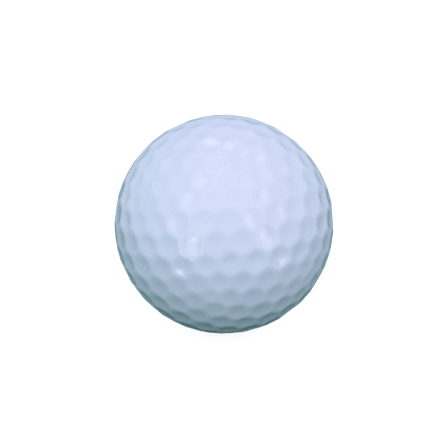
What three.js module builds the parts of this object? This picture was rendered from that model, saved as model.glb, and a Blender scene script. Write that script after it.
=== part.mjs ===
// Golf ball, four layers deep: solid inner core, outer core, casing and dimpled cover.
// Every layer round the inner core is moulded as two half-shells.
// Millimetres, +Z up, origin at the ball's centre.

import * as THREE from "three";
import { ConvexHull } from "three/addons/math/ConvexHull.js";

const DEGREE = Math.PI / 180;

// ---- driving dimensions, mm ----
const BALL_RADIUS = 42.67 / 2;
const COVER_THICKNESS = 0.8;
const CASING_THICKNESS = 0.95;
const INNER_CORE_DIAMETER = 25.4;
// At the middle of a dimple of the typical radius given below.
const DIMPLE_DEPTH = 0.25;
// Room for the flat facets of two differently meshed spheres to clear each other.
const COVER_BOND_GAP = 0.06;
const BOND_GAP = 0.02;

// ---- dimple layout, one five-fold point in the frame of the tetrahedral pattern ----
const FIVE_FOLD_POINT = new THREE.Vector3(-0.073, 0.628, 1);
const LONG_EDGE_STEPS = 6;
const SHORT_EDGE_STEPS = 5;
const FIVE_FOLD_DIMPLE_RADIUS = 3.9 * DEGREE;
const TYPICAL_DIMPLE_RADIUS = 6 * DEGREE;
const LARGEST_DIMPLE_RADIUS = 6.5 * DEGREE;
const FIRST_DIMPLE_RADIUS = 2 * DEGREE;
const GROWTH_PASSES = 24;
const RIDGE_WIDTH = 0.9 * DEGREE;
// Where the facets of a dimple break between its rim and its middle, as a share of the rim's radius.
const FLOOR_RING = 0.58;

// ---- how the pattern and its parting line are turned in the ball's frame ----
const SEAM_HEADING = 128.6 * DEGREE;
const SEAM_TILT = 32.4 * DEGREE;
const PATTERN_SPIN = -40.2 * DEGREE;

// ---- lathe detail of the plain layers ----
const SEGMENTS_AROUND = 30;
const STEPS_PER_QUARTER = 7;

// ---- radii worked out from the above ----
const COVER_INNER_RADIUS = BALL_RADIUS - COVER_THICKNESS;
const CASING_RADIUS = COVER_INNER_RADIUS - COVER_BOND_GAP;
const CASING_INNER_RADIUS = COVER_INNER_RADIUS - CASING_THICKNESS;
const OUTER_CORE_RADIUS = CASING_INNER_RADIUS - BOND_GAP;
const INNER_CORE_RADIUS = INNER_CORE_DIAMETER / 2;
const OUTER_CORE_INNER_RADIUS = INNER_CORE_RADIUS + BOND_GAP;

const seamFrame = new THREE.Matrix4()
  .makeRotationZ(SEAM_HEADING)
  .multiply(new THREE.Matrix4().makeRotationX(SEAM_TILT))
  .multiply(new THREE.Matrix4().makeRotationZ(PATTERN_SPIN));

// ---- dimple centres ----

// The twelve rotations that carry a regular tetrahedron onto itself.
function tetrahedralCopies({ x, y, z }) {
  const copies = [];
  for (const [a, b, c] of [[x, y, z], [z, x, y], [y, z, x]]) {
    copies.push(new THREE.Vector3(a, b, c));
    copies.push(new THREE.Vector3(a, -b, -c));
    copies.push(new THREE.Vector3(-a, b, -c));
    copies.push(new THREE.Vector3(-a, -b, c));
  }
  return copies;
}

// A grid of points over one spherical triangle: s steps along one side, t along the other.
function gridOverTriangle(origin, alongS, alongT, stepsS, stepsT) {
  const points = [];
  for (let s = 0; s <= stepsS; s += 1) {
    for (let t = 0; t <= stepsT; t += 1) {
      const inside = s * stepsT + t * stepsS <= stepsS * stepsT;
      if (inside) {
        const point = origin.clone();
        point.addScaledVector(alongS.clone().sub(origin), s / stepsS);
        point.addScaledVector(alongT.clone().sub(origin), t / stepsT);
        points.push(point.normalize());
      }
    }
  }
  return points;
}

function withoutRepeats(points) {
  const SAME_POINT = 0.01;
  const kept = [];
  for (const point of points) {
    if (!kept.some((other) => other.distanceTo(point) < SAME_POINT)) {
      kept.push(point);
    }
  }
  return kept;
}

// Three triangles meet at the five-fold point that between them repeat over the whole ball.
function dimpleCentres() {
  const p = FIVE_FOLD_POINT.clone().normalize();
  const longOne = new THREE.Vector3(p.z, p.x, p.y);
  const longTwo = new THREE.Vector3(p.y, p.z, p.x);
  const shortOne = new THREE.Vector3(-p.z, -p.x, p.y);
  const shortTwo = new THREE.Vector3(-p.y, p.z, -p.x);
  const patch = [
    ...gridOverTriangle(p, longOne, longTwo, LONG_EDGE_STEPS, LONG_EDGE_STEPS),
    ...gridOverTriangle(p, shortOne, shortTwo, SHORT_EDGE_STEPS, SHORT_EDGE_STEPS),
    ...gridOverTriangle(p, longTwo, shortTwo, LONG_EDGE_STEPS, SHORT_EDGE_STEPS),
  ];
  return withoutRepeats(patch.flatMap(tetrahedralCopies));
}

// ---- dimple sizes: each dimple grows until it meets a neighbour ----

function dimpleRadii(centres) {
  const SAME_DIMPLE = DEGREE;
  const fiveFold = tetrahedralCopies(FIVE_FOLD_POINT.clone().normalize());
  const isSmall = centres.map((c) => fiveFold.some((f) => f.angleTo(c) < SAME_DIMPLE));
  let radii = isSmall.map((small) => (small ? FIVE_FOLD_DIMPLE_RADIUS : FIRST_DIMPLE_RADIUS));
  for (let pass = 0; pass < GROWTH_PASSES; pass += 1) {
    radii = radii.map((radius, i) => {
      if (isSmall[i]) {
        return radius;
      }
      let room = LARGEST_DIMPLE_RADIUS;
      centres.forEach((other, j) => {
        if (j !== i) {
          room = Math.min(room, centres[i].angleTo(other) - radii[j]);
        }
      });
      return (radius + room) / 2;
    });
  }
  return radii;
}

// ---- cells: the patch of cover that belongs to each dimple, bounded by ridge lines ----

// Lifting each centre by its dimple's size before taking the hull puts every ridge where
// two dimples meet, and each hull face then stands on the corner of three cells.
function dimpleCells() {
  const centres = dimpleCentres();
  const radii = dimpleRadii(centres);
  const lifted = centres.map((centre, i) => centre.clone().divideScalar(Math.cos(radii[i])));
  const cells = centres.map((centre, i) => ({ centre, radius: radii[i], corners: [] }));
  const cellOf = new Map(lifted.map((point, i) => [point, cells[i]]));
  for (const face of new ConvexHull().setFromPoints(lifted).faces) {
    const corner = face.normal.clone().normalize();
    let edge = face.edge;
    do {
      cellOf.get(edge.head().point).corners.push(corner);
      edge = edge.next;
    } while (edge !== face.edge);
  }
  cells.forEach(orderCorners);
  return cells;
}

// Puts a cell's corners in anticlockwise order, seen from outside.
function orderCorners(cell) {
  const east = new THREE.Vector3(0, 0, 1).cross(cell.centre).normalize();
  const north = cell.centre.clone().cross(east);
  const bearing = (corner) => Math.atan2(corner.dot(north), corner.dot(east));
  cell.corners.sort((a, b) => bearing(a) - bearing(b));
}

// ---- meshing ----

function towards(centre, direction, angle) {
  const sideways = direction.clone().addScaledVector(centre, -direction.dot(centre)).normalize();
  return centre.clone().multiplyScalar(Math.cos(angle)).addScaledVector(sideways, Math.sin(angle));
}

function at(direction, radius) {
  return direction.clone().multiplyScalar(radius);
}

// Land, wall and floor of one dimple, as triangles over its cell. Every bowl has the same
// curvature, so a wider dimple is deeper.
function dimpleFacets(cell) {
  const { centre, corners } = cell;
  const rimAngle = cell.radius - RIDGE_WIDTH / 2;
  const depth = DIMPLE_DEPTH * (cell.radius / TYPICAL_DIMPLE_RADIUS) ** 2;
  const floorRadius = BALL_RADIUS - depth;
  const ringRadius = BALL_RADIUS - depth * (1 - FLOOR_RING ** 2);
  const bottom = at(centre, floorRadius);
  const facets = [];
  corners.forEach((corner, i) => {
    const next = corners[(i + 1) % corners.length];
    const middle = corner.clone().add(next).normalize();
    const outerA = at(corner, BALL_RADIUS);
    const outerB = at(next, BALL_RADIUS);
    const rimA = at(towards(centre, corner, rimAngle), BALL_RADIUS);
    const rimM = at(towards(centre, middle, rimAngle), BALL_RADIUS);
    const rimB = at(towards(centre, next, rimAngle), BALL_RADIUS);
    const ringA = at(towards(centre, corner, rimAngle * FLOOR_RING), ringRadius);
    const ringB = at(towards(centre, next, rimAngle * FLOOR_RING), ringRadius);
    facets.push([outerA, outerB, rimM]);
    facets.push([outerA, rimM, rimA]);
    facets.push([outerB, rimB, rimM]);
    facets.push([rimA, rimM, ringA]);
    facets.push([rimM, rimB, ringB]);
    facets.push([rimM, ringB, ringA]);
    facets.push([ringA, ringB, bottom]);
  });
  return facets;
}

// The smooth inside of the cover under one cell.
function liningFacets({ centre, corners }) {
  const hub = at(centre, COVER_INNER_RADIUS);
  return corners.map((corner, i) => {
    const next = corners[(i + 1) % corners.length];
    return [hub, at(next, COVER_INNER_RADIUS), at(corner, COVER_INNER_RADIUS)];
  });
}

// The parting line runs along ridges, so each half is closed by a wall under every cell side
// that the other half does not share.
function partingFacets(cells) {
  const sides = new Map();
  for (const { corners } of cells) {
    corners.forEach((corner, i) => {
      const next = corners[(i + 1) % corners.length];
      if (!sides.has(corner)) {
        sides.set(corner, new Set());
      }
      sides.get(corner).add(next);
    });
  }
  const facets = [];
  for (const [from, ends] of sides) {
    for (const to of ends) {
      if (!sides.get(to)?.has(from)) {
        const [outerA, outerB] = [at(from, BALL_RADIUS), at(to, BALL_RADIUS)];
        const [innerA, innerB] = [at(from, COVER_INNER_RADIUS), at(to, COVER_INNER_RADIUS)];
        facets.push([outerA, innerB, outerB]);
        facets.push([outerA, innerA, innerB]);
      }
    }
  }
  return facets;
}

function coverHalf(cells) {
  const facets = [
    ...cells.flatMap(dimpleFacets),
    ...cells.flatMap(liningFacets),
    ...partingFacets(cells),
  ];
  return new THREE.BufferGeometry().setFromPoints(facets.flat());
}

function quarterArc(radius) {
  const points = [];
  for (let step = 0; step <= STEPS_PER_QUARTER; step += 1) {
    const angle = ((Math.PI / 2) * step) / STEPS_PER_QUARTER;
    points.push(new THREE.Vector2(radius * Math.cos(angle), radius * Math.sin(angle)));
  }
  points[STEPS_PER_QUARTER].x = 0;
  points[0].y = 0;
  return points;
}

// A half-shell that stands open side down on the parting plane.
function halfShell(outerRadius, innerRadius) {
  const profile = [...quarterArc(innerRadius).reverse(), ...quarterArc(outerRadius)];
  return new THREE.LatheGeometry(profile, SEGMENTS_AROUND).rotateX(Math.PI / 2);
}

function solidBall(radius) {
  const upper = quarterArc(radius);
  const lower = upper.slice(1).reverse().map((point) => new THREE.Vector2(point.x, -point.y));
  return new THREE.LatheGeometry([...lower, ...upper], SEGMENTS_AROUND).rotateX(Math.PI / 2);
}

function turnedOver(geometry) {
  return geometry.rotateX(Math.PI);
}

// ---- assembly ----

const ball = new THREE.Group();
ball.name = "golf_ball";

function addPiece(name, geometry, [color, roughness]) {
  geometry.applyMatrix4(seamFrame);
  const material = new THREE.MeshStandardMaterial({ color, roughness, metalness: 0 });
  const mesh = new THREE.Mesh(geometry, material);
  mesh.name = name;
  ball.add(mesh);
}

// Each finish is a colour and a roughness.
const COVER_FINISH = [0xf4f6fa, 0.2];
const CASING_FINISH = [0xc9d3dc, 0.5];
const OUTER_CORE_FINISH = [0x2f6f8f, 0.8];
const INNER_CORE_FINISH = [0xd98a3a, 0.8];

const cells = dimpleCells();
const upperCells = cells.filter((cell) => cell.centre.z > 0);
const lowerCells = cells.filter((cell) => cell.centre.z < 0);

addPiece("cover_upper", coverHalf(upperCells), COVER_FINISH);
addPiece("cover_lower", coverHalf(lowerCells), COVER_FINISH);

const casingRadii = [CASING_RADIUS, CASING_INNER_RADIUS];
addPiece("casing_upper", halfShell(...casingRadii), CASING_FINISH);
addPiece("casing_lower", turnedOver(halfShell(...casingRadii)), CASING_FINISH);

const outerCoreRadii = [OUTER_CORE_RADIUS, OUTER_CORE_INNER_RADIUS];
addPiece("outer_core_upper", halfShell(...outerCoreRadii), OUTER_CORE_FINISH);
addPiece("outer_core_lower", turnedOver(halfShell(...outerCoreRadii)), OUTER_CORE_FINISH);

addPiece("inner_core", solidBall(INNER_CORE_RADIUS), INNER_CORE_FINISH);

export default ball;
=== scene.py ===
"""Golf ball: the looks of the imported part, in metres, in the part's own frame.

The dimpled cover is rebuilt here as two smooth half-shells that part along dimple ridges, as
the CAD's do. The casing and the cores stay as the CAD made them, with materials of their own.
"""

import math

import bmesh
import bpy
import numpy as np
from mathutils import Matrix, Vector


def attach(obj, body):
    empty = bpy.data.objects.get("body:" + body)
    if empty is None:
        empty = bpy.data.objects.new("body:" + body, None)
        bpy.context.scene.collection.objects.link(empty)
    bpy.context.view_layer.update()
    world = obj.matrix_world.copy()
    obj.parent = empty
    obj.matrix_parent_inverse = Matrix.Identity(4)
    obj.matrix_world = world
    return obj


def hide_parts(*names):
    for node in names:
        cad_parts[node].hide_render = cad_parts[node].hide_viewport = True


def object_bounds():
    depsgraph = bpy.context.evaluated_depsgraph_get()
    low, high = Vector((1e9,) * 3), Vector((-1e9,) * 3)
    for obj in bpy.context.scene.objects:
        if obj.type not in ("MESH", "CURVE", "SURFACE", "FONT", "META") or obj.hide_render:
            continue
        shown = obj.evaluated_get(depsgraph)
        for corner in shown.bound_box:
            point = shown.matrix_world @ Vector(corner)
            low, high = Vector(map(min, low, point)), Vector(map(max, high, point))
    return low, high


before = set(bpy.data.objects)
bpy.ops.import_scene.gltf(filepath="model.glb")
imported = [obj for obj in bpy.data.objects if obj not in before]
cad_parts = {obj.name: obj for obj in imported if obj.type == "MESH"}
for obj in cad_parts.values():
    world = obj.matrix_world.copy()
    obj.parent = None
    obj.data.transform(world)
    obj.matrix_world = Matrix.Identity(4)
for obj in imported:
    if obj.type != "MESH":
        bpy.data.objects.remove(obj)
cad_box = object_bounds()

MM = 0.001

# ---- dimple layout: the CAD's own, in the frame of the tetrahedral pattern ----
FIVE_FOLD_POINT = np.array((-0.073, 0.628, 1.0))
LONG_EDGE_STEPS = 6
SHORT_EDGE_STEPS = 5
FIVE_FOLD_DIMPLE_RADIUS = math.radians(3.9)
TYPICAL_DIMPLE_RADIUS = math.radians(6)
LARGEST_DIMPLE_RADIUS = math.radians(6.5)
FIRST_DIMPLE_RADIUS = math.radians(2)
GROWTH_PASSES = 24
SAME_DIMPLE = math.radians(1)
SEAM_HEADING = math.radians(128.6)
SEAM_TILT = math.radians(32.4)
PATTERN_SPIN = math.radians(-40.2)

# ---- shape of a dimple ----
# At the middle of a dimple of the typical radius, below the sphere that sharp ridges would reach.
DIMPLE_DEPTH = 0.30 * MM
RIDGE_ROUNDING = 0.20 * MM

# ---- mesh of a cell: points along each side, and rings as shares of the way to its outline ----
STEPS_PER_SIDE = 5
RINGS = (0.18, 0.36, 0.54, 0.70, 0.82, 0.90, 0.96, 1.0)

# ---- clear coat: full up to one depth below the sphere, thin from another on ----
THIN_COAT = 0.15
COAT_FULL_BELOW = 0.20 * MM
COAT_THIN_ABOVE = 0.10 * MM

# ---- stage ----
STAGE_RADIUS = 2.0
STAGE_SEGMENTS = 96
GROUND_RADIUS = 0.1
GROUND_BELOW_FLOOR = 0.2 * MM

# ---- camera ----
CAMERA_ELEVATION = math.radians(30)
CAMERA_DISTANCE_IN_RADII = 40
BALL_SHARE_OF_FRAME = 0.49


# ======================================================================================
# Layout of the dimples
# ======================================================================================

def unit(vectors):
    vectors = np.asarray(vectors, float)
    return vectors / np.linalg.norm(vectors, axis=-1, keepdims=True)


def tetrahedral_copies(point):
    """The twelve places that the rotations of a regular tetrahedron carry a point to."""
    x, y, z = point
    copies = []
    for a, b, c in ((x, y, z), (z, x, y), (y, z, x)):
        copies += [(a, b, c), (a, -b, -c), (-a, b, -c), (-a, -b, c)]
    return copies


def grid_over_triangle(origin, along_s, along_t, steps_s, steps_t):
    """Points over one spherical triangle: s steps along one side, t along the other."""
    points = []
    for s in range(steps_s + 1):
        for t in range(steps_t + 1):
            if s * steps_t + t * steps_s <= steps_s * steps_t:
                offset = (along_s - origin) * s / steps_s + (along_t - origin) * t / steps_t
                points.append(unit(origin + offset))
    return points


def dimple_centres():
    """Three triangles meet at the five-fold point that between them repeat over the ball."""
    p = unit(FIVE_FOLD_POINT)
    x, y, z = p
    long_one = np.array((z, x, y))
    long_two = np.array((y, z, x))
    short_one = np.array((-z, -x, y))
    short_two = np.array((-y, z, -x))
    patch = grid_over_triangle(p, long_one, long_two, LONG_EDGE_STEPS, LONG_EDGE_STEPS)
    patch += grid_over_triangle(p, short_one, short_two, SHORT_EDGE_STEPS, SHORT_EDGE_STEPS)
    patch += grid_over_triangle(p, long_two, short_two, LONG_EDGE_STEPS, SHORT_EDGE_STEPS)
    centres = np.zeros((0, 3))
    for point in patch:
        for copy in tetrahedral_copies(point):
            if len(centres) == 0 or (centres @ copy).max() < math.cos(SAME_DIMPLE):
                centres = np.vstack([centres, copy])
    return centres


def dimple_radii(centres):
    """Angular radii: each dimple but the twelve small ones grows until it meets another."""
    five_fold = np.array(tetrahedral_copies(unit(FIVE_FOLD_POINT)))
    small = (centres @ five_fold.T).max(axis=1) > math.cos(SAME_DIMPLE)
    radii = np.where(small, FIVE_FOLD_DIMPLE_RADIUS, FIRST_DIMPLE_RADIUS)
    apart = np.arccos(np.clip(centres @ centres.T, -1, 1))
    np.fill_diagonal(apart, math.pi)
    for _ in range(GROWTH_PASSES):
        room = np.minimum((apart - radii).min(axis=1), LARGEST_DIMPLE_RADIUS)
        radii = np.where(small, radii, (radii + room) / 2)
    return radii


def turn(axis, angle):
    """Rotation matrix about the z or x axis."""
    c, s = math.cos(angle), math.sin(angle)
    if axis == "z":
        return np.array(((c, -s, 0), (s, c, 0), (0, 0, 1)))
    return np.array(((1, 0, 0), (0, c, -s), (0, s, c)))


# ======================================================================================
# The dimpled surface
# ======================================================================================

class DimpledBall:
    """The ball's outer surface as a radius and a normal for any direction.

    Every dimple is a bowl of the same curvature, so a wider dimple is deeper. Lifting the
    centres by the dimple sizes makes neighbouring bowls meet where their cells do.
    """

    SAME_CORNER = 1 - 1e-10

    def __init__(self, radius):
        self.radius = radius
        self.to_ball = turn("z", SEAM_HEADING) @ turn("x", SEAM_TILT) @ turn("z", PATTERN_SPIN)
        self.seam_axis = self.to_ball @ (0, 0, 1)
        pattern = dimple_centres()
        self.centres = pattern @ self.to_ball.T
        self.lifted = self.centres / np.cos(dimple_radii(pattern))[:, None]
        self.steepness = DIMPLE_DEPTH / (1 / math.cos(TYPICAL_DIMPLE_RADIUS) - 1)

    def surface(self, directions):
        """Radius and unit normal of the surface for unit directions.

        The blend rounds each bowl's rim: from 0 outside the bowl to 1 well inside it.
        """
        dots = directions @ self.lifted.T
        bowl = self.steepness * (dots - 1)
        w = RIDGE_ROUNDING
        blend = np.clip((bowl + w) / (2 * w), 0, 1)
        depth = np.where(bowl > w, bowl, w * blend ** 2).sum(axis=1)
        pull = blend @ self.lifted - (blend * dots).sum(axis=1)[:, None] * directions
        radius = self.radius - depth
        return radius, unit(directions + self.steepness * pull / radius[:, None])

    def cells(self):
        """For each dimple, the corners of its cell in anticlockwise order, as corner ids."""
        hull = bmesh.new()
        for point in self.lifted:
            hull.verts.new(point)
        bmesh.ops.convex_hull(hull, input=hull.verts)
        hull.verts.index_update()
        faces = [[v.index for v in face.verts] for face in hull.faces]
        hull.free()
        corners = []
        touching = [set() for _ in self.lifted]
        for a, b, c in faces:
            pa, pb, pc = self.lifted[[a, b, c]]
            corner = unit(np.cross(pb - pa, pc - pa))
            corner = corner * np.sign(corner @ pa)
            same = [i for i, other in enumerate(corners) if other @ corner > self.SAME_CORNER]
            if not same:
                corners.append(corner)
            corner_id = same[0] if same else len(corners) - 1
            for dimple in (a, b, c):
                touching[dimple].add(corner_id)
        corners = np.array(corners)
        ordered = []
        for centre, ids in zip(self.centres, touching):
            ids = np.array(sorted(ids))
            east = unit(np.cross((0, 0, 1), centre))
            north = np.cross(centre, east)
            bearing = np.arctan2(corners[ids] @ north, corners[ids] @ east)
            ordered.append([int(i) for i in ids[np.argsort(bearing)]])
        return corners, ordered


class HalfShell:
    """Vertices and faces of one half of the cover, with each vertex known by a key."""

    def __init__(self):
        self.index = {}
        self.directions = []
        self.is_outer = []
        self.faces = []
        self.face_is_outer = []

    def vertex(self, key, direction, outer):
        if (key, outer) not in self.index:
            self.index[key, outer] = len(self.directions)
            self.directions.append(direction)
            self.is_outer.append(outer)
        return self.index[key, outer]

    def face(self, vertices, outer):
        self.faces.append(vertices)
        self.face_is_outer.append(outer)


def cell_outline(corners, ids):
    """(key, direction) of points round a cell. Neighbours give shared points the same key."""
    outline = []
    for a, b in zip(ids, ids[1:] + ids[:1]):
        for step in range(STEPS_PER_SIDE):
            along = step / STEPS_PER_SIDE
            direction = unit(corners[a] * (1 - along) + corners[b] * along)
            if step == 0:
                key = ("corner", a)
            elif a < b:
                key = ("side", a, b, step)
            else:
                key = ("side", b, a, STEPS_PER_SIDE - step)
            outline.append((key, direction))
    return outline


def add_cell(half, number, centre, outline):
    """One cell's bowl in rings on the outside, and its flat fan on the inside."""
    count = len(outline)
    hub = half.vertex(("hub", number), centre, True)
    inner = None
    for ring, share in enumerate(RINGS):
        if share < 1:
            here = [
                half.vertex(("ring", number, ring, i), unit(centre * (1 - share) + d * share), True)
                for i, (_, d) in enumerate(outline)
            ]
        else:
            here = [half.vertex(key, d, True) for key, d in outline]
        for i in range(count):
            j = (i + 1) % count
            if inner is None:
                half.face((hub, here[i], here[j]), True)
            else:
                half.face((inner[i], here[i], here[j], inner[j]), True)
        inner = here
    lining_hub = half.vertex(("hub", number), centre, False)
    lining = [half.vertex(key, d, False) for key, d in outline]
    for i in range(count):
        half.face((lining_hub, lining[(i + 1) % count], lining[i]), False)


def add_parting_wall(half, outlines):
    """Closes the half-shell wherever the cell on the far side belongs to the other half."""
    steps = {}
    for outline in outlines:
        for here, after in zip(outline, outline[1:] + outline[:1]):
            steps[here[0], after[0]] = (here, after)
    for (key_a, key_b), (a, b) in steps.items():
        if (key_b, key_a) not in steps:
            outer_a, outer_b = half.vertex(*a, True), half.vertex(*b, True)
            inner_a, inner_b = half.vertex(*a, False), half.vertex(*b, False)
            half.face((outer_b, outer_a, inner_a, inner_b), False)


def cover_half(name, ball, lining_radius, corners, cells, numbers):
    """One half of the cover as an object, shaded with the surface's exact normals."""
    half = HalfShell()
    outlines = [cell_outline(corners, cells[n]) for n in numbers]
    for n, outline in zip(numbers, outlines):
        add_cell(half, n, ball.centres[n], outline)
    add_parting_wall(half, outlines)

    directions = np.array(half.directions)
    outer = np.array(half.is_outer)
    radius, normals = ball.surface(directions)
    positions = directions * np.where(outer, radius, lining_radius)[:, None]
    mesh = bpy.data.meshes.new(name)
    mesh.from_pydata(positions.tolist(), [], half.faces)
    mesh.update()
    mesh.shade_smooth()

    loop_normals = []
    for polygon, face_is_outer in zip(mesh.polygons, half.face_is_outer):
        for vertex in polygon.vertices:
            loop_normals.append(normals[vertex] if face_is_outer else tuple(polygon.normal))
    mesh.normals_split_custom_set(loop_normals)

    piece = bpy.data.objects.new(name, mesh)
    bpy.context.scene.collection.objects.link(piece)
    return piece


# ======================================================================================
# Materials
# ======================================================================================

class Nodes:
    """A new material's node tree, with short calls for what every material here uses."""

    def __init__(self, name):
        self.material = bpy.data.materials.new(name)
        self.material.use_nodes = True
        self.tree = self.material.node_tree
        self.shader = self.tree.nodes["Principled BSDF"]
        self.place = self.tree.nodes.new("ShaderNodeTexCoord").outputs["Object"]

    def add(self, kind, **settings):
        node = self.tree.nodes.new(kind)
        for key, value in settings.items():
            setattr(node, key, value)
        return node

    def link(self, source, target):
        self.tree.links.new(source, target)

    def noise(self, size, detail=2.0, roughness=0.5):
        """Cloudy noise whose blobs are about this many metres across, as a 0 to 1 factor."""
        node = self.add("ShaderNodeTexNoise")
        node.inputs["Scale"].default_value = 1 / size
        node.inputs["Detail"].default_value = detail
        node.inputs["Roughness"].default_value = roughness
        self.link(self.place, node.inputs["Vector"])
        return node.outputs["Fac"]

    def grains(self, size):
        """Cells of about this many metres across, as the distance from each cell's middle."""
        node = self.add("ShaderNodeTexVoronoi")
        node.inputs["Scale"].default_value = 1 / size
        self.link(self.place, node.inputs["Vector"])
        return node.outputs["Distance"]

    def ramp(self, factor, stops):
        """Colours blended by a factor; stops are (position, (red, green, blue))."""
        node = self.add("ShaderNodeValToRGB")
        elements = node.color_ramp.elements
        while len(elements) < len(stops):
            elements.new(0.5)
        for element, (position, colour) in zip(elements, stops):
            element.position = position
            element.color = (*colour, 1)
        self.link(factor, node.inputs["Fac"])
        return node.outputs["Color"]

    def between(self, factor, low, high, start=0.3, end=0.7):
        """Spreads a factor from start..end over low..high."""
        node = self.add("ShaderNodeMapRange")
        limits = {"From Min": start, "From Max": end, "To Min": low, "To Max": high}
        for name, value in limits.items():
            node.inputs[name].default_value = value
        self.link(factor, node.inputs["Value"])
        return node.outputs["Result"]

    def from_centre(self):
        """Distance from the ball's centre, in metres."""
        node = self.add("ShaderNodeVectorMath", operation="LENGTH")
        self.link(self.place, node.inputs[0])
        return node.outputs["Value"]

    def plus(self, a, b):
        node = self.add("ShaderNodeMath", operation="ADD")
        self.link(a, node.inputs[0])
        self.link(b, node.inputs[1])
        return node.outputs[0]

    def bump(self, height, distance):
        """Normals of a relief this many metres high."""
        node = self.add("ShaderNodeBump")
        node.inputs["Distance"].default_value = distance
        node.inputs["Strength"].default_value = 1.0
        self.link(height, node.inputs["Height"])
        return node.outputs["Normal"]

    def set(self, **values):
        """Sets the shader's own sockets; Coat_IOR=1.5 sets the one called Coat IOR."""
        for name, value in values.items():
            self.shader.inputs[name.replace("_", " ")].default_value = value


def cover_material(ball_radius):
    """Blue-white painted plastic with a faint orange peel, under a hard clear coat.

    The clear coat runs off the ridges while it is wet, so they shine less than the dimples.
    """
    nodes = Nodes("golf_ball_cover")
    tone = nodes.noise(4 * MM, detail=4)
    paint = nodes.ramp(tone, [
        (0.30, (0.70, 0.765, 0.90)),
        (0.50, (0.73, 0.785, 0.91)),
        (0.70, (0.745, 0.80, 0.92)),
    ])
    nodes.link(paint, nodes.shader.inputs["Base Color"])
    haze = nodes.between(nodes.noise(1.5 * MM, detail=5), 0.26, 0.38)
    nodes.link(haze, nodes.shader.inputs["Roughness"])
    peel = nodes.bump(nodes.noise(0.45 * MM, detail=1), 0.002 * MM)
    nodes.link(peel, nodes.shader.inputs["Normal"])
    ripple = nodes.bump(nodes.noise(0.5 * MM, detail=2), 0.012 * MM)
    nodes.link(ripple, nodes.shader.inputs["Coat Normal"])
    full, thin = ball_radius - COAT_FULL_BELOW, ball_radius - COAT_THIN_ABOVE
    coat = nodes.between(nodes.from_centre(), 1.0, THIN_COAT, start=full, end=thin)
    nodes.link(coat, nodes.shader.inputs["Coat Weight"])
    nodes.set(IOR=1.5, Coat_Roughness=0.09, Coat_IOR=1.5)
    return nodes.material


def casing_material():
    """Moulded ionomer: cloudy grey-blue plastic with a satin surface."""
    nodes = Nodes("golf_ball_casing")
    cloud = nodes.noise(6 * MM, detail=5)
    tint = nodes.ramp(cloud, [(0.3, (0.50, 0.58, 0.64)), (0.7, (0.66, 0.72, 0.77))])
    nodes.link(tint, nodes.shader.inputs["Base Color"])
    nodes.link(nodes.between(cloud, 0.42, 0.58), nodes.shader.inputs["Roughness"])
    matt = nodes.bump(nodes.noise(0.3 * MM, detail=3), 0.01 * MM)
    nodes.link(matt, nodes.shader.inputs["Normal"])
    return nodes.material


def core_material(name, dark, light):
    """Moulded rubber: a mottled colour with paler filler grains and a matt pitted skin."""
    nodes = Nodes(name)
    mottle = nodes.noise(3 * MM, detail=6, roughness=0.6)
    grain = nodes.between(nodes.grains(0.9 * MM), 0.25, 0.0, start=0.0, end=0.35)
    tint = nodes.ramp(nodes.plus(mottle, grain), [(0.35, dark), (0.85, light)])
    nodes.link(tint, nodes.shader.inputs["Base Color"])
    nodes.link(nodes.between(mottle, 0.7, 0.9), nodes.shader.inputs["Roughness"])
    pits = nodes.bump(nodes.grains(0.5 * MM), 0.02 * MM)
    nodes.link(pits, nodes.shader.inputs["Normal"])
    return nodes.material


def dress(node_name, material):
    """Gives a CAD node a new material in place of the plain one it came with."""
    mesh_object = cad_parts[node_name]
    for slot in mesh_object.material_slots:
        slot.material = material


# ======================================================================================
# The ball
# ======================================================================================

def vertex_radii(node_name):
    """How far each vertex of a CAD node lies from the ball's centre."""
    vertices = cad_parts[node_name].data.vertices
    return [vertex.co.length for vertex in vertices]


cover_radii = vertex_radii("cover_upper") + vertex_radii("cover_lower")
BALL_RADIUS = max(cover_radii)
LINING_RADIUS = min(cover_radii)

ball = DimpledBall(BALL_RADIUS)
corners, cells = ball.cells()
above_seam = ball.centres @ ball.seam_axis > 0
paint = cover_material(BALL_RADIUS)
for half_name, belongs in (("upper", above_seam), ("lower", ~above_seam)):
    numbers = [int(n) for n in np.flatnonzero(belongs)]
    piece = cover_half(f"dimpled_cover_{half_name}", ball, LINING_RADIUS, corners, cells, numbers)
    piece.data.materials.append(paint)
    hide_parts(f"cover_{half_name}")
    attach(piece, "root")

casing = casing_material()
outer_core = core_material("golf_ball_outer_core", (0.02, 0.11, 0.18), (0.06, 0.24, 0.36))
inner_core = core_material("golf_ball_inner_core", (0.50, 0.16, 0.02), (0.78, 0.34, 0.09))
for half_name in ("upper", "lower"):
    dress(f"casing_{half_name}", casing)
    dress(f"outer_core_{half_name}", outer_core)
dress("inner_core", inner_core)


# ======================================================================================
# Stage, light and camera
# ======================================================================================

def camera_only(scenery):
    """Seen by the camera, but casts no shadow and throws no light on the ball."""
    scenery.visible_diffuse = False
    scenery.visible_glossy = False
    scenery.visible_transmission = False
    scenery.visible_shadow = False


def stage_material(name, reflected, glow):
    """Pale matt surface, lit partly of its own so that it stays near white."""
    nodes = Nodes(name)
    dark, light = (reflected,) * 3, (reflected * 1.03,) * 3
    pale = nodes.ramp(nodes.noise(60 * MM), [(0.3, dark), (0.7, light)])
    nodes.link(pale, nodes.shader.inputs["Base Color"])
    nodes.set(Roughness=1.0, Specular_IOR_Level=0.0)
    nodes.set(Emission_Color=(1, 1, 1, 1), Emission_Strength=glow)
    return nodes.material


def ground_material():
    """What the ball really sees below it: a dim green-grey surface."""
    nodes = Nodes("dim_ground")
    tint = nodes.ramp(nodes.noise(25 * MM), [(0.3, (0.02, 0.18, 0.11)), (0.7, (0.03, 0.21, 0.13))])
    nodes.link(tint, nodes.shader.inputs["Base Color"])
    nodes.set(Roughness=0.9)
    return nodes.material


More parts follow.
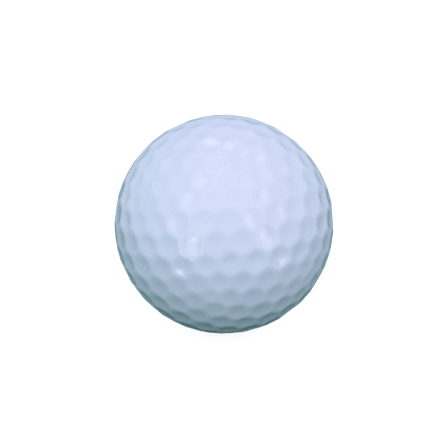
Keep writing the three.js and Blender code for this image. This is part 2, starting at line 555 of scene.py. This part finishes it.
def stage_object(name, mesh, material):
    made = bpy.data.objects.new(name, mesh)
    made.data.materials.append(material)
    bpy.context.scene.collection.objects.link(made)
    return made


def disc(name, radius, height, material):
    around = [2 * math.pi * i / STAGE_SEGMENTS for i in range(STAGE_SEGMENTS)]
    rim = [(radius * math.cos(a), radius * math.sin(a), height) for a in around]
    mesh = bpy.data.meshes.new(name)
    mesh.from_pydata(rim, [], [tuple(range(STAGE_SEGMENTS))])
    return stage_object(name, mesh, material)


def backdrop_bowl(name, radius, height, material):
    """A wide half-sphere standing on the floor, seen from inside."""
    shape = bmesh.new()
    rows = STAGE_SEGMENTS // 2
    bmesh.ops.create_uvsphere(shape, u_segments=STAGE_SEGMENTS, v_segments=rows, radius=radius)
    below = [vertex for vertex in shape.verts if vertex.co.z < -MM]
    bmesh.ops.delete(shape, geom=below, context="VERTS")
    bmesh.ops.translate(shape, verts=shape.verts, vec=(0, 0, height))
    mesh = bpy.data.meshes.new(name)
    shape.to_mesh(mesh)
    shape.free()
    return stage_object(name, mesh, material)


def toward(azimuth, elevation):
    """Unit vector from the ball, by degrees. Azimuth 0 is the camera's side; right is positive."""
    turned, raised = math.radians(azimuth), math.radians(elevation)
    level = math.cos(raised)
    return Vector((level * math.sin(turned), -level * math.cos(turned), math.sin(raised)))


def soft_box(name, middle, along, length, width, radiance):
    """A flat light of one radiance, (r, g, b), whose long side runs along, facing the ball."""
    along = Vector(along).normalized()
    outward = (middle - along * middle.dot(along)).normalized()
    across = outward.cross(along)
    strongest = max(radiance)
    data = bpy.data.lights.new(name, "AREA")
    data.shape = "RECTANGLE"
    data.size = length
    data.size_y = width
    data.color = [channel / strongest for channel in radiance]
    data.energy = strongest * math.pi * length * width
    light = bpy.data.objects.new(name, data)
    light.matrix_world = Matrix((along, across, outward)).transposed().to_4x4()
    light.location = middle
    light.visible_camera = False
    bpy.context.scene.collection.objects.link(light)


def upright_strip(name, azimuth, distance, bottom, top, width, radiance):
    """A tall narrow soft box that stands upright, from one height to another."""
    middle = toward(azimuth, 0) * distance + Vector((0, 0, (bottom + top) / 2))
    soft_box(name, middle, (0, 0, 1), top - bottom, width, radiance)


def world_light(axis, stops):
    """A dome of light whose colour changes along an axis; stops are (height, colour)."""
    world = bpy.data.worlds.new("studio")
    bpy.context.scene.world = world
    world.use_nodes = True
    tree = world.node_tree
    place = tree.nodes.new("ShaderNodeTexCoord").outputs["Generated"]
    along = tree.nodes.new("ShaderNodeVectorMath")
    along.operation = "DOT_PRODUCT"
    along.inputs[1].default_value = axis
    tree.links.new(place, along.inputs[0])
    height = tree.nodes.new("ShaderNodeMapRange")
    height.inputs["From Min"].default_value = -1
    tree.links.new(along.outputs["Value"], height.inputs["Value"])
    ramp = tree.nodes.new("ShaderNodeValToRGB")
    elements = ramp.color_ramp.elements
    while len(elements) < len(stops):
        elements.new(0.5)
    for element, (position, colour) in zip(elements, stops):
        element.position = (position + 1) / 2
        element.color = (*colour, 1)
    tree.links.new(height.outputs["Result"], ramp.inputs["Fac"])
    tree.links.new(ramp.outputs["Color"], tree.nodes["Background"].inputs["Color"])


def make_camera():
    distance = CAMERA_DISTANCE_IN_RADII * BALL_RADIUS
    back = Vector((0, -math.cos(CAMERA_ELEVATION), math.sin(CAMERA_ELEVATION)))
    ball_half_width = BALL_RADIUS / math.sqrt(distance ** 2 - BALL_RADIUS ** 2)
    data = bpy.data.cameras.new("camera")
    data.lens = data.sensor_width / 2 / (ball_half_width / BALL_SHARE_OF_FRAME)
    camera = bpy.data.objects.new("camera", data)
    camera.location = back * distance
    camera.rotation_euler = (-back).to_track_quat("-Z", "Y").to_euler()
    bpy.context.scene.collection.objects.link(camera)
    bpy.context.scene.camera = camera


FLOOR_HEIGHT = cad_box[0].z
camera_only(disc("floor", STAGE_RADIUS, FLOOR_HEIGHT, stage_material("floor_paper", 0.5, 0.85)))
backdrop_paper = stage_material("backdrop_paper", 0.5, 1.2)
camera_only(backdrop_bowl("backdrop", STAGE_RADIUS, FLOOR_HEIGHT, backdrop_paper))
ground = disc("ground", GROUND_RADIUS, FLOOR_HEIGHT - GROUND_BELOW_FLOOR, ground_material())
ground.visible_camera = False

# Heights and distances in metres from the ball's centre.
upright_strip(
    "left_box", azimuth=-34, distance=0.55, bottom=-0.13, top=0.18, width=0.14,
    radiance=(1.35, 1.35, 1.55))
upright_strip(
    "left_low", azimuth=-38, distance=0.50, bottom=-0.13, top=-0.035, width=0.10,
    radiance=(2.1, 1.9, 1.8))
upright_strip(
    "left_high", azimuth=-44, distance=0.60, bottom=0.18, top=0.80, width=0.14,
    radiance=(1.15, 1.20, 1.25))
upright_strip(
    "right_box", azimuth=47, distance=0.55, bottom=0.08, top=0.65, width=0.16,
    radiance=(1.50, 1.12, 1.30))
upright_strip(
    "right_low", azimuth=52, distance=0.50, bottom=-0.09, top=0.07, width=0.10,
    radiance=(2.3, 2.0, 2.2))

# A ring of ceiling lamps, each with its long side pointing away from the ball.
HIGH_LAMP_DISTANCE = 0.6
for number, (azimuth, elevation) in enumerate([(-51, 72), (61, 60), (144, 60), (-150, 63)]):
    soft_box(
        f"high_lamp_{number}", toward(azimuth, elevation) * HIGH_LAMP_DISTANCE,
        along=toward(azimuth, 0), length=0.22, width=0.12, radiance=(1.25, 1.25, 1.35))

world_light(toward(-11, 70), [
    (-0.7, (0.19, 0.33, 0.38)),
    (-0.3, (0.44, 0.555, 0.635)),
    (0.1, (0.585, 0.685, 0.82)),
    (0.5, (0.65, 0.71, 0.86)),
    (0.85, (0.75, 0.77, 0.86)),
])

bpy.context.scene.view_settings.view_transform = "Standard"
make_camera()
